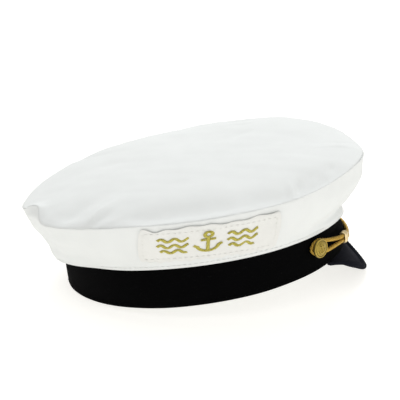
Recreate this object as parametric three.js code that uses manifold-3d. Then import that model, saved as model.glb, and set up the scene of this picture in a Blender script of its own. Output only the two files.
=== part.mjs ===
// Sailor cap: a soft white crown on a stiff black band, with a short steep cloth peak, a gold chin
// cord held by two buttons and two sliding keepers, and a sewn label patch on the wearer's right.
// Millimetres, +Z up. The peak points to -Y and the wearer's right side is -X. The pieces are laid
// out with the band's lower rim in the plane z = 0, then the whole cap is tipped back as it rests.

import * as THREE from 'three';
import { mergeVertices } from 'three/addons/utils/BufferGeometryUtils.js';
import Module from 'manifold-3d';

// Head band: an oval for a 57 cm head.
const BAND_SIDE_HALF = 84.6;
const BAND_FRONT_HALF = 101.5;
const BAND_HEIGHT = 30;
const BAND_WALL = 2.5;

// The band's front leans in under the crown: how far, and between which heights.
const BAND_LEAN = 4.6;
const BAND_LEAN_FROM = 9.5;
const BAND_LEAN_TO = 19;

// Crown: its rim seam is a larger oval, set back a little from the band's centre.
const SEAM_SIDE_HALF = 105;
const SEAM_FRONT_HALF = 123;
const SEAM_SET_BACK = 2.05;
const CLOTH_WALL = 1.6;
const HEM_PROUD = 2.1;
const TOP_DOME = 9;
const TOP_DOME_POWER = 4;
const TOP_EDGE_ROUNDING = 0.9;

// Peak and its binding.
const PEAK_HALF_ANGLE = 40;
const PEAK_REACH = 12;
const PEAK_DROP = 24.8;
const PEAK_DROP_POWER = 1.9;
const PEAK_THICKNESS = 2.2;
const PEAK_TUCK = 8;
const BINDING_WIDTH = 4.6;
const BINDING_THICKNESS = 4.2;

// Chin cord, its buttons and its keepers.
const CORD_DIAMETER = 3;
const BUTTON_ANGLE = 47.9;
const BUTTON_HEIGHT = 17.6;
const BUTTON_RADIUS = 6.8;
const BUTTON_BEVEL = 0.8;
const BUTTON_EDGE = 1.8;
const BUTTON_DOME = 1.4;
const SHANK_RADIUS = 2.2;
const SHANK_LENGTH = 4.6;
const KEEPER_ANGLE = 26;
const KEEPER_HEIGHT = 11.45;
const KEEPER_STANDOFF = 3.5;
const KEEPER_SLOPE = 0.225; // climb of the cord through the keeper, mm a degree
const KEEPER_SPAN = 4; // degrees to either side over which that slope is taken
const KEEPER_LENGTH = 6.4;
const KEEPER_WALL = 0.9;
const KEEPER_PLAY = 0.45;
const STRAND_SPACING = 3.2;

// Label patch.
const PATCH_THICKNESS = 1;
const PATCH_GAP = 0.6;
const PATCH_BACK_SLANT = 5; // degrees that its back end runs on at the lower corner

// Shared.
const GAP = 0.3;
const COLUMNS = 80;
const REST_FLATTENING = 0.4;

// Height above the rim of the crown wall's hem, by angle from the front on either side.
const HEM_ROWS = [
  { angle: 0, height: 14.6 },
  { angle: 15, height: 19.4 },
  { angle: 30, height: 23.4 },
  { angle: 60, height: 26.8 },
  { angle: 90, height: 28.6 },
  { angle: 120, height: 28.8 },
  { angle: 150, height: 26.5 },
  { angle: 165, height: 22.2 },
  { angle: 180, height: 16.9 },
];

// Height of the crown's rim seam, right round from the back by the wearer's right (negative) side.
// The soft crown has slumped a little towards that side.
const SEAM_ROWS = [
  { angle: -180, height: 60 },
  { angle: -165, height: 62.4 },
  { angle: -150, height: 63.4 },
  { angle: -120, height: 67.4 },
  { angle: -90, height: 67.3 },
  { angle: -60, height: 66.1 },
  { angle: -40, height: 67.8 },
  { angle: -20, height: 67.3 },
  { angle: 0, height: 63.9 },
  { angle: 20, height: 67.6 },
  { angle: 40, height: 70.7 },
  { angle: 60, height: 69.8 },
  { angle: 90, height: 66.2 },
  { angle: 120, height: 64.2 },
  { angle: 150, height: 60.7 },
  { angle: 165, height: 59.3 },
  { angle: 180, height: 60 },
];

// How far out the wall has come, from hem (0) to seam (1), by its rise, at the front, side and back.
const FLARE_ROWS = [
  { rise: 0, front: 0, side: 0, back: 0 },
  { rise: 0.12, front: 0.14, side: 0.15, back: 0.22 },
  { rise: 0.22, front: 0.08, side: 0.26, back: 0.31 },
  { rise: 0.3, front: 0.26, side: 0.36, back: 0.35 },
  { rise: 0.4, front: 0.52, side: 0.48, back: 0.45 },
  { rise: 0.53, front: 0.75, side: 0.63, back: 0.57 },
  { rise: 0.66, front: 0.91, side: 0.76, back: 0.72 },
  { rise: 0.82, front: 0.94, side: 0.9, back: 0.82 },
  { rise: 1, front: 1, side: 1, back: 1 },
];

// Soft folds of the crown top: where each lies, how far it spreads and how much it lifts or sinks.
// angle is from the front, positive to the wearer's left; share is of the way from centre to seam.
const FOLD_ROWS = [
  { angle: -133, share: 0.85, angleSpread: 7, shareSpread: 0.22, lift: 2.5 },
  { angle: -146, share: 0.86, angleSpread: 6, shareSpread: 0.12, lift: -2.5 },
  { angle: -158, share: 0.9, angleSpread: 6, shareSpread: 0.1, lift: 2 },
];

// Where the rim seam is pulled in over the edge, leaving a corner of the wall folded over the top.
const SEAM_TUCK = { angle: -161, angleSpread: 8, inset: 9, wallFrom: 0.82 };

// Where the label patch lies on the wall: share of the wall's rise at each of its corners.
const PATCH_ROWS = [
  { angle: -113.3, low: 0.23, high: 0.93 },
  { angle: -69, low: 0.11, high: 0.86 },
];

// The right half of the chin cord's loop, from the middle of the front round the right button and
// back: angle from the front, height above the rim, and standoff of its middle from the plain oval.
const CORD_ROWS = [
  { angle: 0, height: 6.4, standoff: 2.2 },
  { angle: 8, height: 6.7, standoff: 2.2 },
  { angle: 13, height: 7.6, standoff: 2.4 },
  { angle: 18, height: 10, standoff: 2.9 },
  { angle: 22.5, height: 12.26, standoff: 3.4 },
  { angle: 26, height: 13.05, standoff: 3.5 },
  { angle: 29.5, height: 13.84, standoff: 3.4 },
  { angle: 33, height: 15.1, standoff: 2.8 },
  { angle: 38, height: 17.3, standoff: 1.9 },
  { angle: 42.5, height: 19.6, standoff: 1.3 },
  { angle: 46.5, height: 21.9, standoff: 1 },
  { angle: 49.6, height: 20.7, standoff: 1 },
  { angle: 50.8, height: 17.6, standoff: 1.1 },
  { angle: 49.6, height: 14.3, standoff: 1.5 },
  { angle: 46.5, height: 12.9, standoff: 1.9 },
  { angle: 42, height: 12.1, standoff: 2.2 },
  { angle: 38, height: 11.7, standoff: 2.5 },
  { angle: 33, height: 11.2, standoff: 3 },
  { angle: 29.5, height: 10.64, standoff: 3.4 },
  { angle: 26, height: 9.85, standoff: 3.5 },
  { angle: 22.5, height: 9.06, standoff: 3.4 },
  { angle: 18, height: 6.8, standoff: 2.9 },
  { angle: 13, height: 4.4, standoff: 2.4 },
  { angle: 8, height: 3.5, standoff: 2.2 },
  { angle: 0, height: 3.1, standoff: 2.2 },
];

const wasm = await Module();
wasm.setup();

const radians = THREE.MathUtils.degToRad;

// A smooth curve through one column of a table, level at both ends where a mirror image meets it.
function through(rows, along, column, ending) {
  const places = rows.map((row) => row[along]);
  const values = rows.map((row) => row[column]);
  const curve = new THREE.CubicInterpolant(places, values, 1);
  curve.settings = { endingStart: ending, endingEnd: ending };
  return (place) => curve.evaluate(place)[0];
}

const hemHeight = through(HEM_ROWS, 'angle', 'height', THREE.ZeroSlopeEnding);
const seamHeight = through(SEAM_ROWS, 'angle', 'height', THREE.ZeroSlopeEnding);
const frontFlare = through(FLARE_ROWS, 'rise', 'front', THREE.ZeroCurvatureEnding);
const sideFlare = through(FLARE_ROWS, 'rise', 'side', THREE.ZeroCurvatureEnding);
const backFlare = through(FLARE_ROWS, 'rise', 'back', THREE.ZeroCurvatureEnding);

// The unit vector straight out of the band's oval at an angle from the front.
function bandNormal(angle) {
  const turn = radians(angle);
  return new THREE.Vector3(Math.sin(turn) / BAND_SIDE_HALF, -Math.cos(turn) / BAND_FRONT_HALF, 0).normalize();
}

// A point over the band's plain oval, and one over the band's face, which leans in at the front.
function ovalPoint(angle, height, standoff) {
  const turn = radians(angle);
  const place = new THREE.Vector3(BAND_SIDE_HALF * Math.sin(turn), -BAND_FRONT_HALF * Math.cos(turn), height);
  return place.addScaledVector(bandNormal(angle), standoff);
}

function bandPoint(angle, height, standoff) {
  const frontness = Math.max(0, Math.cos(radians(angle))) ** 3;
  const lean = BAND_LEAN * frontness * THREE.MathUtils.smoothstep(height, BAND_LEAN_FROM, BAND_LEAN_TO);
  return ovalPoint(angle, height, standoff - lean);
}

function seamPoint(angle, height, share, inset) {
  const turn = radians(angle);
  const x = (SEAM_SIDE_HALF * share - inset) * Math.sin(turn);
  const y = SEAM_SET_BACK - (SEAM_FRONT_HALF * share - inset) * Math.cos(turn);
  return new THREE.Vector3(x, y, height);
}

// How far the rim seam is pulled in at an angle, for a part of the full pull.
function seamTuck(angle, part) {
  const across = (angle - SEAM_TUCK.angle) / SEAM_TUCK.angleSpread;
  return SEAM_TUCK.inset * part * Math.exp(-across * across);
}

// A point of the crown wall. rise runs from the hem (0) to the seam (1); inset is into the cloth.
function wallPoint(angle, rise, inset) {
  const facing = Math.cos(radians(angle));
  const frontWeight = Math.max(0, facing) ** 3;
  const backWeight = Math.max(0, -facing) ** 3;
  const sideWeight = 1 - frontWeight - backWeight;
  const flare = frontWeight * frontFlare(rise) + backWeight * backFlare(rise) + sideWeight * sideFlare(rise);
  const low = hemHeight(Math.abs(angle));
  const high = seamHeight(angle) - GAP / 2;
  const hem = bandPoint(angle, low, HEM_PROUD - inset);
  const foldedOver = THREE.MathUtils.smoothstep(rise, SEAM_TUCK.wallFrom, 1);
  const seam = seamPoint(angle, low, 1, inset + seamTuck(angle, foldedOver));
  const point = hem.lerp(seam, flare);
  point.z = low + (high - low) * rise;
  return point;
}

function foldLift(angle, share) {
  let lift = 0;
  for (const fold of FOLD_ROWS) {
    const acrossFold = (angle - fold.angle) / fold.angleSpread;
    const alongFold = (share - fold.share) / fold.shareSpread;
    lift += fold.lift * Math.exp(-acrossFold * acrossFold - alongFold * alongFold);
  }
  return lift;
}

// A point of the crown top. share runs from the centre (0) to the seam (1).
function topPoint(angle, share, inset, lower) {
  const middle = (seamHeight(-90) + seamHeight(90)) / 2;
  const rim = seamHeight(angle) + GAP / 2;
  const level = middle + (rim - middle) * share * share;
  const crowned = TOP_DOME * (1 - share ** TOP_DOME_POWER) + foldLift(angle, share) * (1 - share ** 20);
  const tuck = seamTuck(angle, share ** 6);
  return seamPoint(angle, level + crowned + CLOTH_WALL - lower, share, inset + tuck);
}

// Joins corner rows into one closed solid. A column is a closed ring of points; a looped plate joins
// its last column to its first, and any other is closed by strips across its two end columns.
function plate(columns, looped) {
  const size = columns[0].length;
  const positions = columns.flatMap((column) => column.flatMap((point) => point.toArray()));
  const faces = [];
  const joined = looped ? columns.length : columns.length - 1;
  for (let column = 0; column < joined; column += 1) {
    const here = column * size;
    const next = ((column + 1) % columns.length) * size;
    for (let row = 0; row < size; row += 1) {
      const after = (row + 1) % size;
      faces.push(here + row, next + row, next + after, here + row, next + after, here + after);
    }
  }
  if (!looped) {
    const last = (columns.length - 1) * size;
    for (let row = 0; row < size / 2 - 1; row += 1) {
      const [a, b, c, d] = [row, row + 1, size - 2 - row, size - 1 - row];
      faces.push(a, b, c, a, c, d);
      faces.push(last + a, last + c, last + b, last + a, last + d, last + c);
    }
  }
  const geometry = new THREE.BufferGeometry();
  geometry.setAttribute('position', new THREE.Float32BufferAttribute(positions, 3));
  geometry.setIndex(faces);
  return closed(geometry);
}

// Merges shared corners, drops faces that have shrunk to a line and turns all faces outward.
function closed(geometry) {
  const bare = new THREE.BufferGeometry();
  bare.setAttribute('position', geometry.getAttribute('position'));
  bare.setIndex(geometry.getIndex());
  const merged = mergeVertices(bare, 1e-4);
  const corners = merged.getIndex().array;
  const position = merged.getAttribute('position');
  const kept = [];
  let volume = 0;
  const [a, b, c] = [new THREE.Vector3(), new THREE.Vector3(), new THREE.Vector3()];
  for (let face = 0; face < corners.length; face += 3) {
    const [i, j, k] = corners.slice(face, face + 3);
    if (i !== j && j !== k && k !== i) {
      kept.push(i, j, k);
      a.fromBufferAttribute(position, i);
      b.fromBufferAttribute(position, j);
      c.fromBufferAttribute(position, k);
      volume += a.dot(b.cross(c));
    }
  }
  merged.setIndex(volume < 0 ? kept.reverse() : kept);
  return merged;
}

function toSolid(geometry) {
  const vertProperties = new Float32Array(geometry.getAttribute('position').array);
  const triVerts = new Uint32Array(geometry.getIndex().array);
  return new wasm.Manifold(new wasm.Mesh({ numProp: 3, vertProperties, triVerts }));
}

function fromSolid(solid) {
  const mesh = solid.getMesh();
  const geometry = new THREE.BufferGeometry();
  geometry.setAttribute('position', new THREE.BufferAttribute(mesh.vertProperties, 3));
  geometry.setIndex(new THREE.BufferAttribute(mesh.triVerts, 1));
  return geometry;
}

function evenly(start, end, count) {
  return Array.from({ length: count }, (_, step) => start + ((end - start) * step) / (count - 1));
}

function anglesRound() {
  return evenly(-180, 180, COLUMNS + 1).slice(0, -1);
}

function hatBand() {
  const heights = [0, ...evenly(BAND_LEAN_FROM, BAND_LEAN_TO, 5), BAND_HEIGHT];
  const columns = anglesRound().map((angle) => [
    ...heights.map((height) => bandPoint(angle, height, 0)),
    ...heights.toReversed().map((height) => bandPoint(angle, height, -BAND_WALL)),
  ]);
  return plate(columns, true);
}

function crownSide() {
  const rises = [0, 0.06, 0.12, 0.22, 0.3, 0.4, 0.53, 0.66, 0.82, 0.92, 1];
  const columns = anglesRound().map((angle) => [
    ...rises.map((rise) => wallPoint(angle, rise, 0)),
    ...rises.toReversed().map((rise) => wallPoint(angle, rise, CLOTH_WALL)),
  ]);
  return plate(columns, true);
}

function crownTop() {
  const shares = [0, 0.3, 0.55, 0.7, 0.8, 0.88, 0.95];
  const columns = anglesRound().map((angle) => [
    ...shares.map((share) => topPoint(angle, share, 0, 0)),
    topPoint(angle, 1, TOP_EDGE_ROUNDING, 0),
    topPoint(angle, 1, 0, TOP_EDGE_ROUNDING),
    topPoint(angle, 1, 0, CLOTH_WALL),
    topPoint(angle, 1, CLOTH_WALL, CLOTH_WALL),
    ...shares.toReversed().map((share) => topPoint(angle, share, 0, CLOTH_WALL)),
  ]);
  return plate(columns, true);
}

// The middle line of the peak's outer edge. turn runs from -90 at its right corner to 90.
function peakEdge(turn) {
  const corner = bandPoint(PEAK_HALF_ANGLE, 0, 0);
  const side = corner.x * Math.sin(radians(turn));
  const forward = -corner.y + (BAND_FRONT_HALF + PEAK_REACH + corner.y) * Math.cos(radians(turn));
  const drop = PEAK_DROP * Math.cos(radians(turn)) ** PEAK_DROP_POWER;
  return new THREE.Vector3(side, -forward, -drop);
}

function peak() {
  const turns = evenly(-84, 84, 25);
  const shares = [0, 0.35, 0.7, 1];
  const columns = turns.map((turn) => {
    const angle = (PEAK_HALF_ANGLE * turn) / 90;
    const inside = -BAND_WALL - GAP;
    const tuckTop = bandPoint(angle, PEAK_TUCK, inside);
    const root = bandPoint(angle, -GAP, inside);
    const fullEdge = peakEdge(turn);
    const slope = fullEdge.clone().sub(root);
    const edge = fullEdge.addScaledVector(slope.clone().normalize(), -BINDING_WIDTH / 2 - GAP);
    const across = new THREE.Vector3(1, 0, 0).cross(slope).normalize();
    const upper = shares.map((share) => root.clone().lerp(edge, share));
    const lower = upper.map((point) => point.clone().addScaledVector(across, PEAK_THICKNESS));
    const tuckInner = tuckTop.clone().addScaledVector(bandNormal(angle), -PEAK_THICKNESS);
    return [tuckTop, ...upper, ...lower.toReversed(), tuckInner];
  });
  return plate(columns, false);
}

function peakBinding() {
  const turns = evenly(-78, 78, 27);
  const route = new THREE.CatmullRomCurve3(turns.map(peakEdge));
  const section = new THREE.Shape();
  section.absellipse(0, 0, BINDING_THICKNESS / 2, BINDING_WIDTH / 2, 0, 2 * Math.PI);
  return closed(new THREE.ExtrudeGeometry(section, { extrudePath: route, steps: 32, curveSegments: 5 }));
}

function chinCord() {
  const places = CORD_ROWS.map((row) => ovalPoint(row.angle, row.height, row.standoff));
  const mirrored = places.slice(1, -1).toReversed();
  const leftHalf = mirrored.map((point) => new THREE.Vector3(-point.x, point.y, point.z));
  const loop = new THREE.CatmullRomCurve3([...places, ...leftHalf], true, 'centripetal');
  const steps = 80;
  const sides = 8;
  const columns = Array.from({ length: steps }, (_, step) => {
    const middle = loop.getPointAt(step / steps);
    const forward = loop.getTangentAt(step / steps);
    const radial = new THREE.Vector3(middle.x, middle.y, 0).normalize();
    const upright = forward.clone().cross(radial).normalize();
    const sideways = upright.clone().cross(forward).normalize();
    return Array.from({ length: sides }, (_unused, side) => {
      const turn = (2 * Math.PI * side) / sides;
      const spoke = upright.clone().multiplyScalar(Math.cos(turn)).addScaledVector(sideways, Math.sin(turn));
      return middle.clone().addScaledVector(spoke, CORD_DIAMETER / 2);
    });
  });
  return plate(columns, true);
}

function button() {
  const profile = [
    new THREE.Vector2(0, GAP),
    new THREE.Vector2(SHANK_RADIUS, GAP),
    new THREE.Vector2(SHANK_RADIUS, SHANK_LENGTH),
    new THREE.Vector2(BUTTON_RADIUS - BUTTON_BEVEL, SHANK_LENGTH),
    new THREE.Vector2(BUTTON_RADIUS, SHANK_LENGTH + BUTTON_BEVEL),
    new THREE.Vector2(BUTTON_RADIUS - BUTTON_BEVEL / 2, SHANK_LENGTH + BUTTON_EDGE),
    new THREE.Vector2(BUTTON_RADIUS / 2, SHANK_LENGTH + BUTTON_EDGE + BUTTON_DOME * 0.75),
    new THREE.Vector2(0, SHANK_LENGTH + BUTTON_EDGE + BUTTON_DOME),
  ];
  return closed(new THREE.LatheGeometry(profile, 24));
}

// A ring with two round ends that both strands of the cord pass through.
function keeper() {
  const outline = (target, radius) => {
    target.absarc(STRAND_SPACING / 2, 0, radius, -Math.PI / 2, Math.PI / 2);
    target.absarc(-STRAND_SPACING / 2, 0, radius, Math.PI / 2, (3 * Math.PI) / 2);
    return target;
  };
  const hole = CORD_DIAMETER / 2 + KEEPER_PLAY;
  const ring = outline(new THREE.Shape(), hole + KEEPER_WALL);
  ring.holes.push(outline(new THREE.Path(), hole));
  const barrel = { depth: KEEPER_LENGTH, bevelEnabled: false, curveSegments: 6 };
  const geometry = new THREE.ExtrudeGeometry(ring, barrel);
  geometry.translate(0, 0, -KEEPER_LENGTH / 2);
  return closed(geometry);
}

function labelPatch() {
  const [start, end] = PATCH_ROWS;
  const columns = evenly(0, 1, 13).map((part) => {
    const angle = THREE.MathUtils.lerp(start.angle, end.angle, part);
    const low = THREE.MathUtils.lerp(start.low, end.low, part);
    const high = THREE.MathUtils.lerp(start.high, end.high, part);
    const place = (up, lift) => {
      const slant = PATCH_BACK_SLANT * (1 - part) * (1 - up);
      return wallPoint(angle - slant, THREE.MathUtils.lerp(low, high, up), -lift);
    };
    const inner = evenly(0, 1, 4).map((up) => place(up, PATCH_GAP));
    const outer = evenly(0, 1, 4).map((up) => place(up, PATCH_GAP + PATCH_THICKNESS));
    return [...inner, ...outer.toReversed()];
  });
  return plate(columns, false);
}

const whiteCloth = new THREE.MeshStandardMaterial({ color: 0xedeeeb, roughness: 0.9, metalness: 0 });
const labelCloth = new THREE.MeshStandardMaterial({ color: 0xf2f0ea, roughness: 0.85, metalness: 0 });
const blackCloth = new THREE.MeshStandardMaterial({ color: 0x0a0a0c, roughness: 0.85, metalness: 0 });
const navyCloth = new THREE.MeshStandardMaterial({ color: 0x1f2029, roughness: 0.9, metalness: 0 });
const goldCord = new THREE.MeshStandardMaterial({ color: 0x9c8135, roughness: 0.5, metalness: 0.4 });
const goldMetal = new THREE.MeshStandardMaterial({ color: 0xa68a3c, roughness: 0.35, metalness: 0.9 });
const paleGold = new THREE.MeshStandardMaterial({ color: 0xcbb77f, roughness: 0.35, metalness: 0.8 });

function piece(name, geometry, material) {
  geometry.computeVertexNormals();
  const mesh = new THREE.Mesh(geometry, material);
  mesh.name = name;
  return mesh;
}

// A button with its shank pointing into the band, on the right (-1) or the left (1).
function buttonOn(side, name) {
  const mesh = piece(name, button(), goldMetal);
  const angle = side * BUTTON_ANGLE;
  mesh.position.copy(bandPoint(angle, BUTTON_HEIGHT, GAP));
  mesh.quaternion.setFromUnitVectors(new THREE.Vector3(0, 1, 0), bandNormal(angle));
  return mesh;
}

// A keeper lies along the cord, with its long way upright.
function keeperOn(side, name) {
  const mesh = piece(name, keeper(), paleGold);
  const angle = side * KEEPER_ANGLE;
  const climb = KEEPER_SLOPE * KEEPER_SPAN;
  const inner = ovalPoint(side * (KEEPER_ANGLE - KEEPER_SPAN), KEEPER_HEIGHT - climb, KEEPER_STANDOFF);
  const outer = ovalPoint(side * (KEEPER_ANGLE + KEEPER_SPAN), KEEPER_HEIGHT + climb, KEEPER_STANDOFF);
  const along = outer.sub(inner).normalize();
  const out = bandNormal(angle);
  const upright = along.clone().cross(out).normalize();
  const facing = upright.clone().cross(along).normalize();
  mesh.quaternion.setFromRotationMatrix(new THREE.Matrix4().makeBasis(upright, facing.negate(), along));
  mesh.position.copy(ovalPoint(angle, KEEPER_HEIGHT, KEEPER_STANDOFF));
  return mesh;
}

// The cap rests on the back of its band and on the lowest point of its bound peak.
function restTilt(bindingGeometry) {
  const position = bindingGeometry.getAttribute('position');
  let tilt = 0;
  for (let corner = 0; corner < position.count; corner += 1) {
    const reach = BAND_FRONT_HALF - position.getY(corner);
    tilt = Math.max(tilt, Math.atan2(-position.getZ(corner), reach));
  }
  return tilt;
}

// Cuts off the thin slice of a piece that its rest presses flat.
function flattened(geometry, tilt) {
  const depth = 40;
  const block = new THREE.BoxGeometry(600, 600, depth);
  block.translate(0, 0, REST_FLATTENING - depth / 2);
  const floor = new THREE.Matrix4().makeRotationX(tilt);
  floor.setPosition(0, BAND_FRONT_HALF, 0);
  block.applyMatrix4(floor);
  return fromSolid(toSolid(geometry).subtract(toSolid(closed(block))));
}

const bindingGeometry = peakBinding();
const tilt = restTilt(bindingGeometry);

const cap = new THREE.Group();
cap.add(piece('crown_top', crownTop(), whiteCloth));
cap.add(piece('crown_side', crownSide(), whiteCloth));
cap.add(piece('hat_band', flattened(hatBand(), tilt), blackCloth));
cap.add(piece('peak', peak(), navyCloth));
cap.add(piece('peak_binding', flattened(bindingGeometry, tilt), navyCloth));
cap.add(piece('chin_cord', chinCord(), goldCord));
cap.add(buttonOn(-1, 'button_right'));
cap.add(buttonOn(1, 'button_left'));
cap.add(keeperOn(-1, 'keeper_right'));
cap.add(keeperOn(1, 'keeper_left'));
cap.add(piece('label_patch', labelPatch(), labelCloth));

// Tipped back onto its rest, with the origin under the middle of its outline.
cap.rotation.x = -tilt;
cap.updateMatrixWorld(true);
const outline = new THREE.Box3().setFromObject(cap, true);
cap.position.set(-(outline.min.x + outline.max.x) / 2, -(outline.min.y + outline.max.y) / 2, -outline.min.z);

const group = new THREE.Group();
group.add(cap);

export default group;
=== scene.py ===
import math

import bmesh
import bpy
import numpy as np
from mathutils import Matrix, Vector


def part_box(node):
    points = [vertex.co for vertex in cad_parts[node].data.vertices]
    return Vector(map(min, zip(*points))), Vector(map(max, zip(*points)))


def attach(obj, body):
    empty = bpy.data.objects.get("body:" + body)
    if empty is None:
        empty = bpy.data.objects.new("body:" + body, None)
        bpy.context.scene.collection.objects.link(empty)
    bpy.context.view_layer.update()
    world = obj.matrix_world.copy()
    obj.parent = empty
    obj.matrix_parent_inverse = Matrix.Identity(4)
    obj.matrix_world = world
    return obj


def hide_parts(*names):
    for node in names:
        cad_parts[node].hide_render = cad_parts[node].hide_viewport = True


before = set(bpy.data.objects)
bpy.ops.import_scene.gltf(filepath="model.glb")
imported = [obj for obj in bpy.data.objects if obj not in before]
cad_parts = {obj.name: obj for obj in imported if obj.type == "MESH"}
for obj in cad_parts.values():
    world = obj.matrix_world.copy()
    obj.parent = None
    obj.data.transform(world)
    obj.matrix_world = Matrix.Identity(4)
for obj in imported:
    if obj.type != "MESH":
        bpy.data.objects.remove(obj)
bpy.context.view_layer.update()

mm = 0.001


# ---------------------------------------------------------------------------------------------
# Head band.
# The stiff hoop that carries the cap: buckram covered in black face cloth, turned over both
# edges and stitched through. Everything is laid out with the band's lower rim level, its front
# towards -Y, and then tipped back as the cap rests.

BAND_SIDE_HALF = 84.6 * mm
BAND_FRONT_HALF = 101.5 * mm
BAND_HEIGHT = 30 * mm
BAND_WALL = 2.5 * mm
BAND_LEAN = 4.6 * mm
BAND_LEAN_FROM = 9.5 * mm
BAND_LEAN_TO = 19 * mm
REST_TILT = math.radians(7.118)
REST_FLATTENING = 0.4 * mm
BAND_WANDER = 0.35 * mm
BAND_WANDER_LENGTH = 45 * mm
BAND_STITCH_INSET = 2.6 * mm
BAND_STITCH_PROUD = 0.12 * mm
BAND_STITCH = dict(length=3.0 * mm, gap=1.2 * mm, thread=0.5 * mm)
BAND_COLUMNS = 360
BLACK = (0.0012, 0.0012, 0.0014)

# How sharply the shapes of the front and the back give way to that of the sides.
FACING_POWER = 3

band_low, band_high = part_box("hat_band")
tilt_sine, tilt_cosine = math.sin(REST_TILT), math.cos(REST_TILT)
rim_centre = Vector(((band_low.x + band_high.x) / 2,
                     band_high.y - BAND_FRONT_HALF * tilt_cosine - BAND_HEIGHT * tilt_sine,
                     BAND_FRONT_HALF * tilt_sine - REST_FLATTENING))
tip_back = Matrix.Translation(rim_centre) @ Matrix.Rotation(-REST_TILT, 4, "X")


def unit(vectors):
    """The same directions, each of length 1."""
    return vectors / np.linalg.norm(vectors, axis=-1, keepdims=True)


def band_normal(angle):
    """Straight out of the band at an angle in degrees from the front, positive to the left side."""
    turn = np.radians(angle)
    return unit(np.stack([np.sin(turn) / BAND_SIDE_HALF, -np.cos(turn) / BAND_FRONT_HALF, 0 * turn],
                         axis=-1))


def smoothstep(value, start, end):
    """An even rise from 0 to 1 as a value goes from start to end."""
    part = np.clip((value - start) / (end - start), 0, 1)
    return part * part * (3 - 2 * part)


def oval_point(angle, height, standoff):
    """A point over the band's plain oval."""
    turn = np.radians(angle)
    flat = [BAND_SIDE_HALF * np.sin(turn), -BAND_FRONT_HALF * np.cos(turn), height]
    on_oval = np.stack(np.broadcast_arrays(*flat), axis=-1)
    return on_oval + band_normal(angle + 0 * height) * np.expand_dims(standoff + 0 * angle, -1)


def band_point(angle, height, standoff):
    """A point over the band's face, whose front leans in under the crown."""
    frontness = np.clip(np.cos(np.radians(angle)), 0, 1) ** FACING_POWER
    lean = BAND_LEAN * frontness * smoothstep(height, BAND_LEAN_FROM, BAND_LEAN_TO)
    return oval_point(angle, height, standoff - lean)


RIPPLE_WAVES = 7
RIPPLE_PEAK = 4
RIPPLE_SPREAD = (0.6, 1.4)


def ripple(points, wavelength, seed):
    """A smooth wandering value, mostly from -1 to 1, over points in space, made of plane waves."""
    chance = np.random.default_rng(seed)
    total = 0
    for _ in range(RIPPLE_WAVES):
        way = chance.normal(size=3)
        way *= 2 * math.pi * chance.uniform(*RIPPLE_SPREAD) / (wavelength * np.linalg.norm(way))
        total = total + np.sin(points @ way + chance.uniform(0, 2 * math.pi))
    return total / RIPPLE_PEAK


def reach_along(route):
    """How far along a route each of its points lies."""
    steps = np.linalg.norm(np.diff(route, axis=0), axis=-1)
    return np.concatenate([[0], np.cumsum(steps)])


def places_along(places, reach, route):
    """The points of a route at places along it."""
    return np.stack([np.interp(places, reach, axis) for axis in route.T], axis=-1)


def round_steps(count):
    """Turns in radians, evenly right round from 0."""
    return np.radians(np.arange(0, 360, 360 // count))


def tube(route, size, out, side, sides):
    """Rings of points right round a route, size being their radius."""
    turn = round_steps(sides)
    ring = np.cos(turn)[None, :, None] * out[:, None] + np.sin(turn)[None, :, None] * side[:, None]
    return route[:, None] + size * ring


def skin(columns, looped=True, plan=False):
    """A closed skin through columns of points, each column a ring round the section of the cloth.

    Its map is in metres: along the cloth, or from above where plan is set."""
    count, size = columns.shape[:2]
    last = count if looped else count - 1
    column, row = np.meshgrid(np.arange(last), np.arange(size), indexing="ij")
    steps = [(column, row), (column + 1, row), (column + 1, row + 1), (column, row + 1)]
    corners = np.stack([np.stack([a.ravel(), b.ravel()], -1) for a, b in steps], axis=1)
    faces = (corners[..., 0] % count) * size + corners[..., 1] % size
    around = reach_along(np.concatenate([columns[:, 0], columns[:1, 0]]))
    along = reach_along(np.concatenate([columns[0], columns[0][:1]]))
    uv = np.stack([around[corners[..., 0]], along[corners[..., 1]]], axis=-1)
    points = columns.reshape(-1, 3)
    if plan:
        uv = points[faces][..., :2]
    if not looped:
        near = np.arange(size // 2 - 1)
        cap = np.stack([near, near + 1, size - 2 - near, size - 1 - near], axis=-1)
        caps = np.concatenate([cap, cap + (count - 1) * size])
        faces = np.concatenate([faces, caps])
        uv = np.concatenate([uv, points[caps][..., :2]])
    return points, faces, uv


WELD_DISTANCE = 1e-6
SLIVER_LENGTH = 1e-7


def build(name, skins, material, sharp=None):
    """One object from closed skins laid out in the cap's own frame, leaned back with the cap."""
    shape = bmesh.new()
    layer = shape.loops.layers.uv.new("cloth")
    for points, faces, uv in skins:
        corners = [shape.verts.new(point) for point in points]
        for face, places in zip(faces, uv):
            made = shape.faces.new([corners[index] for index in face])
            for loop, place in zip(made.loops, places):
                loop[layer].uv = place
    bmesh.ops.remove_doubles(shape, verts=shape.verts, dist=WELD_DISTANCE)
    bmesh.ops.dissolve_degenerate(shape, edges=shape.edges, dist=SLIVER_LENGTH)
    bmesh.ops.recalc_face_normals(shape, faces=shape.faces)
    bmesh.ops.transform(shape, matrix=tip_back, verts=shape.verts)
    mesh = bpy.data.meshes.new(name)
    shape.to_mesh(mesh)
    shape.free()
    mesh.shade_smooth()
    if sharp:
        mesh.set_sharp_from_angle(angle=math.radians(sharp))
    mesh.materials.append(material)
    piece = bpy.data.objects.new(name, mesh)
    bpy.context.collection.objects.link(piece)
    return piece


STITCH_RINGS = 7
STITCH_SIDES = 6
STITCH_END = 0.35
STITCH_SINK = 0.6
STITCH_ARCH = 0.6


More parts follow.
